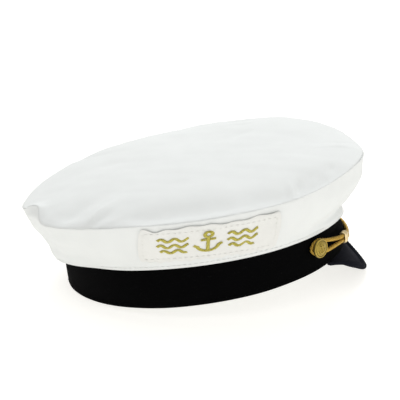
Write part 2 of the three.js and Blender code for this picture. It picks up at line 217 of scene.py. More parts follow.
def stitches(route, outward, length, gap, thread):
    """Skins of the stitches along a route: each a bead of thread that dips into the cloth."""
    reach = reach_along(route)
    starts = np.arange(gap / 2, reach[-1] - length, length + gap)
    part = np.linspace(0, 1, STITCH_RINGS)
    arch = np.sin(part * math.pi) ** STITCH_ARCH
    girth = thread / 2 * (STITCH_END + (1 - STITCH_END) * arch)[:, None, None]
    made = []
    for start in starts:
        places = start + part * length
        middle = places_along(places, reach, route)
        out = places_along(places, reach, outward)
        side = np.cross(out, unit(np.gradient(middle, axis=0)))
        middle = middle + out * ((arch - STITCH_SINK) * thread / 2)[:, None]
        made.append(skin(tube(middle, girth, out, side, STITCH_SIDES), looped=False))
    return made


def add_node(tree, kind, settings=None, **inputs):
    """A shader node whose inputs are given by name, each a value or another node's output."""
    made = tree.nodes.new("ShaderNode" + kind)
    for name, value in (settings or {}).items():
        setattr(made, name, value)
    for name, value in inputs.items():
        socket = made.inputs[name.replace("_", " ")]
        if isinstance(value, bpy.types.NodeSocket):
            tree.links.new(value, socket)
        else:
            socket.default_value = value
    return made


def shades(tree, value, stops):
    """Colours spread over a value from 0 to 1, from (place, colour) stops."""
    ramp = add_node(tree, "ValToRGB", Fac=value)
    while len(ramp.color_ramp.elements) < len(stops):
        ramp.color_ramp.elements.new(0.5)
    for element, (place, colour) in zip(ramp.color_ramp.elements, stops):
        element.position = place
        element.color = (*colour, 1)
    return ramp.outputs["Color"]


def tinted(colour, gain):
    """A colour made lighter or darker."""
    return tuple(min(1, channel * gain) for channel in colour)


def new_material(name):
    """A fresh material, with its node tree and its shader."""
    material = bpy.data.materials.new(name)
    material.use_nodes = True
    return material, material.node_tree, material.node_tree.nodes["Principled BSDF"]


def mixed_value(tree, first, second, share):
    """Two textures' values mixed into one, share being how much of the second is in it."""
    mixed = add_node(tree, "Mix", {"data_type": "FLOAT"}, Factor=share)
    tree.links.new(first, mixed.inputs["A"])
    tree.links.new(second, mixed.inputs["B"])
    return mixed.outputs["Result"]


# A wave texture of scale 1 repeats every 0.628 m along the slant that it runs across.
WAVE_REPEAT = 0.628
SLANTED_WAVES = {"wave_type": "BANDS", "bands_direction": "DIAGONAL", "wave_profile": "SIN"}

# The size of the broad patches of painted wrinkle shade, and of the threads' fuzz.
WRINKLE_SHADE_SCALE = 28.0
FUZZ_SCALE = 1400.0
CRUMPLE_SCALE = 90.0
FUZZ_SHARE = 0.35
DARK_PLACE = 0.3
EVEN_PLACE = 0.5
LIGHT_PLACE = 0.72
CLOTH_SPECULAR = 0.04
CLOTH_SHEEN_ROUGHNESS = 0.5


def cloth_material(name, colour, shade_and_tone_spread, rough, sheen, rib, ridge, crumple):
    """Woven cloth: a slanted rib of thread, a blurred fuzz over it, soft crumples, the threads' uneven
    tone and broad patches of painted shade for wrinkles.
    """
    material, tree, shader = new_material(name)
    place = add_node(tree, "TexCoord")
    flat, space = place.outputs["UV"], place.outputs["Object"]
    # Broad lighter and darker patches in the colour are painted shade standing in for wrinkles; the
    # fine fuzz over them is the threads' own uneven tone.
    wrinkle_shade = add_node(tree, "TexNoise", Vector=space, Scale=WRINKLE_SHADE_SCALE, Detail=4.0, Roughness=0.6)
    thread = add_node(tree, "TexNoise", Vector=flat, Scale=FUZZ_SCALE, Detail=2.0, Roughness=0.7)
    shade_and_tone = mixed_value(tree, wrinkle_shade.outputs["Fac"], thread.outputs["Fac"], FUZZ_SHARE)
    colours = shades(tree, shade_and_tone, [(DARK_PLACE, tinted(colour, 1 - shade_and_tone_spread)),
                                 (EVEN_PLACE, colour),
                                 (LIGHT_PLACE, tinted(colour, 1 + shade_and_tone_spread))])
    tree.links.new(colours, shader.inputs["Base Color"])
    twill = add_node(tree, "TexWave", SLANTED_WAVES, Vector=flat, Scale=WAVE_REPEAT / rib,
                     Distortion=0.6, Detail=1.0)
    crumples = add_node(tree, "TexNoise", Vector=space, Scale=CRUMPLE_SCALE, Detail=5.0,
                        Roughness=0.55)
    soft = add_node(tree, "Bump", Strength=1.0, Distance=crumple, Height=crumples.outputs["Fac"])
    fuzz = add_node(tree, "Bump", Strength=0.8, Distance=ridge, Height=thread.outputs["Fac"],
                    Normal=soft.outputs["Normal"])
    ribs = add_node(tree, "Bump", Strength=0.7, Distance=ridge, Height=twill.outputs["Fac"],
                    Normal=fuzz.outputs["Normal"])
    tree.links.new(ribs.outputs["Normal"], shader.inputs["Normal"])
    shader.inputs["Roughness"].default_value = rough
    shader.inputs["Specular IOR Level"].default_value = CLOTH_SPECULAR
    shader.inputs["Sheen Weight"].default_value = sheen
    shader.inputs["Sheen Roughness"].default_value = CLOTH_SHEEN_ROUGHNESS
    return material


black_cloth = cloth_material("black_face_cloth", BLACK, shade_and_tone_spread=0.4, rough=0.95, sheen=0.001,
                             rib=0.7 * mm, ridge=0.12 * mm, crumple=0.5 * mm)


def wall_section(height, wall, rows, round_rows):
    """Standoff and height round the section of an upright wall with two rounded edges."""
    radius = wall / 2
    face = np.linspace(radius, height - radius, rows)
    turn = np.linspace(0, math.pi, round_rows + 2)[1:-1]
    standoff = np.concatenate([0 * face, radius * (np.cos(turn) - 1), 0 * face - wall,
                               -radius * (1 + np.cos(turn))])
    level = np.concatenate([face, height - radius + radius * np.sin(turn), face[::-1],
                            radius - radius * np.sin(turn)])
    return standoff, level


band_angles = np.linspace(-180, 180, BAND_COLUMNS, endpoint=False)
section_standoff, section_level = wall_section(BAND_HEIGHT, BAND_WALL, rows=14, round_rows=5)
band_columns = band_point(band_angles[:, None], section_level[None], section_standoff[None])
band_wander = ripple(band_columns, BAND_WANDER_LENGTH, 3) * BAND_WANDER
inner_share = np.clip(-section_standoff / BAND_WALL, 0, 1)
band_columns += band_normal(band_angles)[:, None] * (band_wander * (1 - inner_share))[..., None]
thread_angles = np.linspace(-180, 180, 2 * BAND_COLUMNS + 1)
band_thread_route = band_point(thread_angles, BAND_STITCH_INSET, BAND_STITCH_PROUD)
band_thread = stitches(band_thread_route, band_normal(thread_angles), **BAND_STITCH)
band = build("band_cloth", [skin(band_columns)] + band_thread, black_cloth)


def press_flat(piece):
    """Where the cap rests, its cloth is pressed flat on the surface."""
    for vertex in piece.data.vertices:
        vertex.co.z = max(vertex.co.z, 0)


press_flat(band)
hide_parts("hat_band")
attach(band, "root")


# ---------------------------------------------------------------------------------------------
# Crown side.
# One long strip of white cotton twill that flares from the band to the rim seam. Its lower edge
# is turned under and sewn round the outside of the band, where it droops at the front and back.

SEAM_SIDE_HALF = 105 * mm
SEAM_FRONT_HALF = 123 * mm
SEAM_SET_BACK = 2.05 * mm
CLOTH_WALL = 1.6 * mm
HEM_PROUD = 2.1 * mm
HEM_RISE = 0.03
HEM_SQUASH = 0.9
HEM_STITCH_RISE = 0.085
HEM_STITCH = dict(length=2.6 * mm, gap=1.1 * mm, thread=0.45 * mm)
STITCH_PROUD = 0.35 * mm
SEAM_OVERLAP = 0.2 * mm
SEAM_ROLL = 0.4 * mm
SEAM_ROLL_FROM = 0.975
PUCKER_LENGTH = 9 * mm
PUCKER_DEPTH = 0.35 * mm
PUCKER_STRETCH = (1, 1, 0.25)
SEAM_PUCKER_REACH = 0.16
HEM_PUCKER_REACH = 0.12
CORNER_ANGLE = -161
CORNER_LIFT = 9 * mm
CORNER_INSET = 6 * mm
CORNER_SPREAD_BACK = 14
CORNER_SPREAD_SIDE = 4.5
CORNER_FOLD_FROM = 0.82
WALL_COLUMNS = 540
WALL_LEVELS = 54
INNER_WALL_LEVELS = 18
LIP_LEVELS = 5
WHITE = (0.825, 0.84, 0.825)

# Height of the wall's hem above the rim in millimetres, by degrees from the front on either side.
HEM_ROWS = [(0, 14.6), (15, 19.4), (30, 23.4), (60, 26.8), (90, 28.6), (120, 28.8), (150, 26.5),
            (165, 22.2), (180, 16.9)]

# Height of the rim seam in millimetres, right round from the back by the wearer's right
# (negative) side.
SEAM_ROWS = [(-180, 60), (-165, 62.4), (-150, 63.4), (-120, 67.4), (-90, 67.3), (-60, 66.1),
             (-40, 67.8), (-20, 67.3), (0, 63.9), (20, 67.6), (40, 70.7), (60, 69.8), (90, 66.2),
             (120, 64.2), (150, 60.7), (165, 59.3), (180, 60)]

# How far out the wall has come, from hem (0) to seam (1): its rise, then at front, side and back.
FLARE_ROWS = [(0, 0, 0, 0), (0.12, 0.14, 0.15, 0.22), (0.22, 0.08, 0.26, 0.31),
              (0.3, 0.26, 0.36, 0.35), (0.4, 0.52, 0.48, 0.45), (0.53, 0.75, 0.63, 0.57),
              (0.66, 0.91, 0.76, 0.72), (0.82, 0.94, 0.9, 0.82), (1, 1, 1, 1)]

# How the loose wall wanders out of its even shape: the length of its waves and how deep they are.
WALL_SLACK = [dict(wavelength=38 * mm, seed=12, depth=0.55 * mm),
              dict(wavelength=17 * mm, seed=13, depth=0.22 * mm)]

# Soft folds of the wall: where each lies and how far it spreads, in degrees round the wall and
# shares of its rise, and how many millimetres it swells or sinks.
WALL_FOLDS = [
    dict(angle=-20, rise=0.20, wide=26, tall=0.07, swell=-1.6),
    dict(angle=-24, rise=0.08, wide=22, tall=0.07, swell=1.0),
    dict(angle=-58, rise=0.45, wide=7, tall=0.5, swell=-0.7),
    dict(angle=-128, rise=0.55, wide=9, tall=0.4, swell=0.9),
    dict(angle=-140, rise=0.35, wide=6, tall=0.35, swell=-0.9),
    dict(angle=-166, rise=0.75, wide=6, tall=0.3, swell=1.2),
    dict(angle=-172, rise=0.35, wide=7, tall=0.2, swell=-1.3),
    dict(angle=35, rise=0.5, wide=8, tall=0.4, swell=0.8),
    dict(angle=75, rise=0.4, wide=10, tall=0.5, swell=-0.8),
    dict(angle=118, rise=0.6, wide=8, tall=0.4, swell=0.9),
    dict(angle=150, rise=0.4, wide=7, tall=0.4, swell=-0.9),
]


def eased(part, start, start_way, end, end_way):
    """A smooth bend from start to end, leaving along start_way and arriving along end_way."""
    leaving = (1 + 2 * part) * (1 - part) ** 2 * start + part * (1 - part) ** 2 * start_way
    arriving = part ** 2 * (3 - 2 * part) * end - part ** 2 * (1 - part) * end_way
    return leaving + arriving


def through(rows, column, level_ends):
    """A smooth curve through one column of a table, over its first column."""
    places = np.array([row[0] for row in rows], float)
    values = np.array([row[column] for row in rows], float)
    slopes = np.gradient(values, places)
    if level_ends:
        slopes[[0, -1]] = 0

    def curve(place):
        span = np.clip(np.searchsorted(places, place) - 1, 0, len(places) - 2)
        width = places[span + 1] - places[span]
        part = (place - places[span]) / width
        return eased(part, values[span], slopes[span] * width,
                     values[span + 1], slopes[span + 1] * width)

    return curve


hem_height = through(HEM_ROWS, 1, True)
seam_height = through(SEAM_ROWS, 1, True)
front_flare = through(FLARE_ROWS, 1, False)
side_flare = through(FLARE_ROWS, 2, False)
back_flare = through(FLARE_ROWS, 3, False)


def bell(distance, spread):
    """1 at no distance, falling away smoothly over the spread."""
    return np.exp(-(distance / spread) ** 2)


def seam_point(angle, height, share, inset):
    """A point on the rim's oval, or at a share of the way out to it, drawn in by inset."""
    turn = np.radians(angle)
    x = (SEAM_SIDE_HALF * share - inset) * np.sin(turn)
    y = SEAM_SET_BACK - (SEAM_FRONT_HALF * share - inset) * np.cos(turn)
    return np.stack(np.broadcast_arrays(x, y, height), axis=-1)


def corner_share(angle):
    """How far the rim is drawn up into the corner of cloth that is folded in over the back."""
    past = (angle - CORNER_ANGLE + 180) % 360 - 180
    return bell(past, np.where(past < 0, CORNER_SPREAD_BACK, CORNER_SPREAD_SIDE))


def wall_point(angle, rise, inset):
    """A point of the crown's wall, its rise from the hem to the seam, sunk into the cloth by inset."""
    facing = np.cos(np.radians(angle))
    front_weight = np.clip(facing, 0, 1) ** FACING_POWER
    back_weight = np.clip(-facing, 0, 1) ** FACING_POWER
    side_weight = 1 - front_weight - back_weight
    flare = (front_weight * front_flare(rise) + back_weight * back_flare(rise)
             + side_weight * side_flare(rise))
    low = hem_height(np.abs(angle)) * mm
    corner = corner_share(angle)
    high = seam_height(angle) * mm + CORNER_LIFT * corner + SEAM_OVERLAP / 2
    swell = 0
    for fold in WALL_FOLDS:
        over = bell(angle - fold["angle"], fold["wide"]) * bell(rise - fold["rise"], fold["tall"])
        swell = swell + fold["swell"] * mm * over
    hem = band_point(angle, low, HEM_PROUD - inset + swell)
    folded_over = smoothstep(rise, CORNER_FOLD_FROM, 1)
    seam = seam_point(angle, low, 1, inset - swell + CORNER_INSET * corner * folded_over)
    point = hem + (seam - hem) * np.expand_dims(flare, -1)
    point[..., 2] = low + (high - low) * rise
    return point


def wandering(points, rows):
    """How far loose cloth wanders out of its even shape, by a table of its ripples."""
    return sum(ripple(points, row["wavelength"], row["seed"]) * row["depth"] for row in rows)


white_twill = cloth_material("white_twill", WHITE, shade_and_tone_spread=0.03, rough=0.9, sheen=0.15,
                             rib=0.8 * mm, ridge=0.05 * mm, crumple=0.25 * mm)

wall_angles = np.linspace(-180, 180, WALL_COLUMNS, endpoint=False)
outer_rises = np.linspace(HEM_RISE, 1, WALL_LEVELS)
inner_rises = np.linspace(0.98, 0.04, INNER_WALL_LEVELS)
wall_angle, outer_rise = np.meshgrid(wall_angles, outer_rises, indexing="ij")
outer_wall = wall_point(wall_angle, outer_rise, 0 * outer_rise)
gathered = bell(1 - outer_rise, SEAM_PUCKER_REACH) + bell(outer_rise, HEM_PUCKER_REACH) / 2
puckers = ripple(outer_wall * PUCKER_STRETCH, PUCKER_LENGTH, 11) * PUCKER_DEPTH * gathered
slack = wandering(outer_wall, WALL_SLACK)
rolled = SEAM_ROLL * smoothstep(outer_rise, SEAM_ROLL_FROM, 1)
outer_wall += band_normal(wall_angles)[:, None] * (puckers + slack - rolled)[..., None]
wall_angle, inner_rise = np.meshgrid(wall_angles, inner_rises, indexing="ij")
inner_wall = wall_point(wall_angle, inner_rise, CLOTH_WALL + 0 * inner_rise)
lip_turn = np.linspace(0, math.pi, LIP_LEVELS + 2)[1:-1]
lip_inset = CLOTH_WALL / 2 * (1 + np.cos(lip_turn))
lip_drop = CLOTH_WALL / 2 * np.sin(lip_turn) * HEM_SQUASH
wall_angle, lip_inset = np.meshgrid(wall_angles, lip_inset, indexing="ij")
lip = wall_point(wall_angle, HEM_RISE + 0 * lip_inset, lip_inset)
lip[..., 2] -= lip_drop
crown_wall_columns = np.concatenate([outer_wall, inner_wall, lip], axis=1)

hem_route = wall_point(wall_angles, HEM_STITCH_RISE + 0 * wall_angles, -STITCH_PROUD)
hem_thread = stitches(hem_route, band_normal(wall_angles), **HEM_STITCH)
crown_wall = build("crown_wall_cloth", [skin(crown_wall_columns)] + hem_thread, white_twill)
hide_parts("crown_side")
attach(crown_wall, "root")


# ---------------------------------------------------------------------------------------------
# Crown top.
# A single oval of the same white twill, cut a little full so that it puffs up over the hollow
# crown and rolls down to the rim seam, with the soft folds of a cap that has been worn.

TOP_DOME = 9 * mm
TOP_DOME_POWER = 4
TOP_PUCKER_LENGTH = 10 * mm
TOP_PUCKER_DEPTH = 0.4 * mm
TOP_PUCKER_STRETCH = (1, 1, 0.2)
TOP_PUCKER_REACH = 0.09
TOP_ROLL_FROM = 0.95
TOP_LAST_ROLL_FROM = 0.99
TOP_RINGS = 62
INNER_TOP_RINGS = 14
RING_CROWDING = 1.35

# How sharply each of these comes in or dies away toward the rim: a higher power keeps it nearer.
RIM_LEVEL_POWER = 2
CORNER_LIFT_POWER = 12
CORNER_INSET_POWER = 6
FOLD_POWER = 20
SLACK_POWER = 30

# How the loose top wanders: the length of its waves and how deep they are.
TOP_SLACK = [dict(wavelength=46 * mm, seed=22, depth=0.6 * mm),
             dict(wavelength=19 * mm, seed=23, depth=0.16 * mm)]

# Folds of the top in plan, in millimetres and degrees: each one's middle, half-length and
# half-width, the way it runs, and its lift.
TOP_FOLDS = [
    dict(x=-73, y=77, long=19, wide=4.5, run=-53, lift=2.6),
    dict(x=-54, y=88, long=20, wide=9, run=-58, lift=-3.4),
    dict(x=-86, y=73, long=12, wide=3, run=-70, lift=1.3),
    dict(x=-79, y=76, long=12, wide=2.6, run=-62, lift=-0.9),
    dict(x=-98, y=6, long=78, wide=15, run=90, lift=-3.8),
    dict(x=-91, y=40, long=24, wide=8, run=84, lift=-1.2),
    dict(x=-81, y=-81, long=36, wide=14, run=-50, lift=-5.6),
    dict(x=-85, y=-52, long=9, wide=2.6, run=-15, lift=2.1),
    dict(x=-82, y=-58, long=9, wide=2.4, run=-18, lift=-1.6),
    dict(x=-67, y=-80, long=9, wide=2.6, run=-25, lift=1.9),
    dict(x=-61, y=-84, long=9, wide=2.6, run=-35, lift=-1.7),
    dict(x=-76, y=-70, long=7, wide=2.2, run=-24, lift=1.2),
    dict(x=-21, y=-104, long=13, wide=3, run=80, lift=1.1),
    dict(x=-6, y=-106, long=13, wide=3, run=95, lift=-0.8),
    dict(x=34, y=-44, long=12, wide=5, run=-57, lift=-1.1),
    dict(x=22, y=61, long=14, wide=7, run=100, lift=-1.1),
    dict(x=70, y=70, long=18, wide=6, run=50, lift=-1.8),
    dict(x=82, y=-48, long=16, wide=6, run=60, lift=-1.6),
    dict(x=60, y=10, long=22, wide=9, run=20, lift=-0.9),
    dict(x=60, y=-46, long=13, wide=4, run=92, lift=-1.4),
]


def fold_lift(points):
    """How far the folds lift or sink the top at points in plan."""
    lift = 0
    for fold in TOP_FOLDS:
        turn = math.radians(fold["run"])
        x = points[..., 0] / mm - fold["x"]
        y = points[..., 1] / mm - fold["y"]
        along = x * math.cos(turn) + y * math.sin(turn)
        across = y * math.cos(turn) - x * math.sin(turn)
        lift = lift + fold["lift"] * mm * bell(along, fold["long"]) * bell(across, fold["wide"])
    return lift


def top_point(angle, share, lower):
    """A point of the crown's top; its share of the way from the centre to the seam."""
    middle = (seam_height(-90) + seam_height(90)) / 2 * mm
    rim = seam_height(angle) * mm - SEAM_OVERLAP / 2
    corner = corner_share(angle)
    level = middle + (rim - middle) * share ** RIM_LEVEL_POWER
    level = level + CORNER_LIFT * corner * share ** CORNER_LIFT_POWER
    height = level + TOP_DOME * (1 - share ** TOP_DOME_POWER) + CLOTH_WALL - lower
    point = seam_point(angle, height, share, CORNER_INSET * corner * share ** CORNER_INSET_POWER)
    point[..., 2] += fold_lift(point) * (1 - share ** FOLD_POWER)
    return point


# The rings of the top lie closer together toward the rim, where it puckers and rolls over.
outer_shares = 1 - np.linspace(1, 0, TOP_RINGS) ** RING_CROWDING
inner_shares = np.linspace(0.985, 0, INNER_TOP_RINGS)
top_angle, outer_share = np.meshgrid(wall_angles, outer_shares, indexing="ij")
outer_top = top_point(top_angle, outer_share, 0)
edge_puckers = ripple(outer_top * TOP_PUCKER_STRETCH, TOP_PUCKER_LENGTH, 21) * TOP_PUCKER_DEPTH
edge_puckers = edge_puckers * bell(1 - outer_share, TOP_PUCKER_REACH)
top_slack = wandering(outer_top, TOP_SLACK)
edge_roll = (smoothstep(outer_share, TOP_ROLL_FROM, 1)
             + smoothstep(outer_share, TOP_LAST_ROLL_FROM, 1))
outer_top[..., 2] += (edge_puckers + top_slack) * (1 - outer_share ** SLACK_POWER)
outer_top[..., 2] -= CLOTH_WALL / 2 * edge_roll
top_angle, inner_share = np.meshgrid(wall_angles, inner_shares, indexing="ij")
inner_top = top_point(top_angle, inner_share, CLOTH_WALL)
crown_top_columns = np.concatenate([outer_top, inner_top], axis=1)
crown_top = build("crown_top_cloth", [skin(crown_top_columns, plan=True)], white_twill)
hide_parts("crown_top")
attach(crown_top, "root")


# ---------------------------------------------------------------------------------------------
# Peak.
# A short steep shade of navy cloth over card, tucked up inside the band and sewn to it. It dips
# in the middle, where the leaning cap rests on it.

PEAK_HALF_ANGLE = 40
PEAK_REACH = 12 * mm
PEAK_DROP = 24.8 * mm
PEAK_DROP_POWER = 1.9
PEAK_THICKNESS = 2.2 * mm
PEAK_TUCK = 8 * mm
PEAK_GAP = 0.3 * mm
PEAK_END_TURN = 86
PEAK_COLUMNS = 161
PEAK_LEVELS = 26
PEAK_HOLLOW = 0.9 * mm
PEAK_FLAT_SHARE = 0.2
PEAK_WANDER = 0.3 * mm
PEAK_WANDER_LENGTH = 30 * mm
BINDING_WIDTH = 4.6 * mm
BINDING_HIDES = 0.35 * BINDING_WIDTH
NAVY = (0.009, 0.0095, 0.0145)

peak_corner = band_point(np.float64(PEAK_HALF_ANGLE), 0, 0)


def peak_edge(turn):
    """The middle of the peak's outer edge, turn running from -90 at its right corner to 90."""
    facing = np.clip(np.cos(np.radians(turn)), 0, 1)
    forward = -peak_corner[1] + (BAND_FRONT_HALF + PEAK_REACH + peak_corner[1]) * facing
    return np.stack([peak_corner[0] * np.sin(np.radians(turn)), -forward,
                     -PEAK_DROP * facing ** PEAK_DROP_POWER], axis=-1)


def peak_frame(turn):
    """The peak's root inside the band, the end of its cloth, and the way down through it."""
    angle = PEAK_HALF_ANGLE * turn / 90
    root = band_point(angle, -PEAK_GAP, -BAND_WALL - PEAK_GAP)
    slope = peak_edge(turn) - root
    end = peak_edge(turn) - unit(slope) * BINDING_HIDES
    down = unit(np.cross([1, 0, 0], slope))
    return angle, root, end, down


navy_cloth = cloth_material("navy_wool", NAVY, shade_and_tone_spread=0.25, rough=0.95, sheen=0.01,
                            rib=0.9 * mm, ridge=0.14 * mm, crumple=0.8 * mm)

peak_turns = np.linspace(-PEAK_END_TURN, PEAK_END_TURN, PEAK_COLUMNS)
peak_shares = np.linspace(0, 1, PEAK_LEVELS)
peak_angle, peak_root, peak_end, peak_down = peak_frame(peak_turns)
peak_share = peak_shares[None, :, None]
upper_peak = peak_root[:, None] + (peak_end - peak_root)[:, None] * peak_share
hollow = PEAK_HOLLOW * np.sin(peak_shares * math.pi)
hollow = hollow + PEAK_WANDER * ripple(upper_peak, PEAK_WANDER_LENGTH, 31)
hollow = hollow * smoothstep(peak_shares, 0, PEAK_FLAT_SHARE)
hollow = hollow * np.cos(np.radians(peak_turns))[:, None] ** 2
upper_peak = upper_peak + peak_down[:, None] * hollow[..., None]
lower_peak = upper_peak + peak_down[:, None] * PEAK_THICKNESS
tuck = band_point(peak_angle, PEAK_TUCK, -BAND_WALL - PEAK_GAP)[:, None]
tuck_inner = tuck - band_normal(peak_angle)[:, None] * PEAK_THICKNESS
peak_columns = np.concatenate([tuck, upper_peak, lower_peak[:, ::-1], tuck_inner], axis=1)
peak_piece = build("peak_cloth", [skin(peak_columns, looped=False)], navy_cloth, sharp=50)
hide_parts("peak")
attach(peak_piece, "root")


# ---------------------------------------------------------------------------------------------
# Peak binding.
# A bias strip of the navy cloth folded over the peak's edge and stitched through near its inner
# side, tapering away where the peak runs up under the band.

BINDING_THICKNESS = 4.2 * mm
BINDING_SQUARENESS = 0.8
BINDING_END_TURN = 82
BINDING_TAPER_FROM = 60
BINDING_TAPER = 0.72
BINDING_WANDER = 0.03
BINDING_WANDER_LENGTH = 12 * mm
BINDING_STITCH_INSET = 1.1 * mm
BINDING_STITCH_PROUD = 1.95 * mm
BINDING_STITCH = dict(length=2.4 * mm, gap=1.0 * mm, thread=0.45 * mm)
BINDING_STEPS = 181

# The steps of the route at each end of the binding that are too thin to stitch.
UNSTITCHED_STEPS = 18

binding_turns = np.linspace(-BINDING_END_TURN, BINDING_END_TURN, BINDING_STEPS)
_, _, _, binding_down = peak_frame(binding_turns)
binding_route = peak_edge(binding_turns)
binding_root = band_point(PEAK_HALF_ANGLE * binding_turns / 90, 0, -BAND_WALL)
binding_inward = unit(binding_root - binding_route)
thinned = smoothstep(np.abs(binding_turns), BINDING_TAPER_FROM, BINDING_END_TURN)
binding_wander = 1 + BINDING_WANDER * ripple(binding_route, BINDING_WANDER_LENGTH, 41)
section_size = ((1 - BINDING_TAPER * thinned) * binding_wander)[:, None, None]
section_turn = round_steps(24)[None, :, None]
rounded = np.sign(np.cos(section_turn)) * np.abs(np.cos(section_turn)) ** BINDING_SQUARENESS
section = (binding_inward[:, None] * rounded * BINDING_WIDTH / 2
           + binding_down[:, None] * np.sin(section_turn) * BINDING_THICKNESS / 2)
binding_columns = binding_route[:, None] + section_size * section
stitched = slice(UNSTITCHED_STEPS, -UNSTITCHED_STEPS)
binding_thread_route = (binding_route + binding_inward * BINDING_STITCH_INSET
                        - binding_down * BINDING_STITCH_PROUD)
binding_thread = stitches(binding_thread_route[stitched], -binding_down[stitched], **BINDING_STITCH)
binding_skins = [skin(binding_columns, looped=False)] + binding_thread
binding = build("peak_edge_binding", binding_skins, navy_cloth)
press_flat(binding)
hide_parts("peak_binding")
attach(binding, "root")


# ---------------------------------------------------------------------------------------------
# Buttons.
# Two gold-plated shank buttons, one over each end of the peak, struck with a raised rim and an
# anchor and rubbed bright on their high places.

BUTTON_ANGLE = 47.9
BUTTON_HEIGHT = 17.6 * mm
BUTTON_RADIUS = 6.8 * mm
SHANK_RADIUS = 2.2 * mm
SHANK_LENGTH = 4.6 * mm
BUTTON_GAP = 0.3 * mm
BUTTON_EDGE = 1.6 * mm
BUTTON_DOME = 1.1 * mm
BUTTON_BEVEL = 0.9 * mm
BUTTON_BEVEL_FROM = 0.93
RELIEF = 0.5 * mm
RELIEF_SLOPE = (-0.12, 0.16)
GOLD = (0.34, 0.245, 0.05)

# The raised rim and the groove inside it: the share of the radius, and how wide and high.
BUTTON_RINGS = [dict(share=0.9, wide=0.055, high=0.45 * mm),
                dict(share=0.78, wide=0.035, high=-0.2 * mm)]

# The back of the disc from its edge inward: the share of its radius, and its level in millimetres.
BUTTON_BACK_ROWS = [(1.0, 0.9), (0.985, 0.35), (0.93, 0), (0.5, 0), (0, 0)]

# The shank from the band outward: the share of its radius, and how far out it is.
SHANK_ROWS = [(0, BUTTON_GAP), (1.15, BUTTON_GAP), (1, 1 * mm), (1, 3.6 * mm), (1.2, SHANK_LENGTH),
              (0, SHANK_LENGTH)]

# The struck anchor in millimetres from the button's middle: its straight bars and its round ones.
ANCHOR_BARS = [
    dict(start=(0, 2.3), end=(0, -3.2), half=0.34),
    dict(start=(-1.7, 1.55), end=(1.7, 1.55), half=0.3),
    dict(start=(2.1, -1.3), end=(3.0, -0.75), half=0.3),
    dict(start=(-2.1, -1.3), end=(-3.0, -0.75), half=0.3),
]
ANCHOR_RING = dict(level=3.0, radius=0.72, half=0.27)
ANCHOR_ARMS = dict(level=-0.45, radius=2.75, half=0.36)
ANCHOR_ARMS_TOP = -1.1

TARNISH_SCALE = 420.0
TARNISH_DARK = 0.22
RUBBED_BRIGHT = 1.6
HOLLOW_PLACE = 0.44
HIGH_PLACE = 0.56
HEIGHT_SHARE = 0.6
POLISHED = 0.08
CLOUDED = 0.14


def metal_material(name, colour, rough, dent):
    """Plated metal: fine scuffs, a cloudy polish and a darker tarnish in the low places."""
    material, tree, shader = new_material(name)
    space = add_node(tree, "TexCoord").outputs["Object"]
    tarnish = add_node(tree, "TexNoise", Vector=space, Scale=TARNISH_SCALE, Detail=5.0,
                       Roughness=0.65)
    worn = add_node(tree, "NewGeometry").outputs["Pointiness"]
    height = add_node(tree, "MapRange", Value=worn, From_Min=HOLLOW_PLACE, From_Max=HIGH_PLACE)
    mixed = mixed_value(tree, tarnish.outputs["Fac"], height.outputs["Result"], HEIGHT_SHARE)
    colours = shades(tree, mixed, [(DARK_PLACE, tinted(colour, TARNISH_DARK)),
                                   (EVEN_PLACE, colour),
                                   (LIGHT_PLACE, tinted(colour, RUBBED_BRIGHT))])
    tree.links.new(colours, shader.inputs["Base Color"])
    polish = add_node(tree, "MapRange", Value=tarnish.outputs["Fac"], To_Min=rough - POLISHED,
                      To_Max=rough + CLOUDED)
    tree.links.new(polish.outputs["Result"], shader.inputs["Roughness"])
    scuffs = add_node(tree, "Bump", Strength=0.6, Distance=dent, Height=tarnish.outputs["Fac"])
    tree.links.new(scuffs.outputs["Normal"], shader.inputs["Normal"])
    shader.inputs["Metallic"].default_value = 0.9
    return material


gold_metal = metal_material("gold_plate", GOLD, rough=0.36, dent=0.05 * mm)


def segment_distance(x, y, start, end):
    """How far places are from a straight line between two points."""
    along = (end[0] - start[0], end[1] - start[1])
    part = ((x - start[0]) * along[0] + (y - start[1]) * along[1]) / (along[0] ** 2 + along[1] ** 2)
    part = np.clip(part, 0, 1)
    return np.hypot(x - start[0] - part * along[0], y - start[1] - part * along[1])


def anchor_relief(x, y):
    """How far inside a plain anchor a place on the button is, in millimetres; below 0 is outside."""
    inside = [bar["half"] - segment_distance(x, y, bar["start"], bar["end"]) for bar in ANCHOR_BARS]
    for bow in (ANCHOR_RING, ANCHOR_ARMS):
        off_bow = np.abs(np.hypot(x, y - bow["level"]) - bow["radius"])
        inside.append(bow["half"] - off_bow)
    inside[-1] = np.where(y < ANCHOR_ARMS_TOP, inside[-1], -1.0)
    return np.max(inside, axis=0)


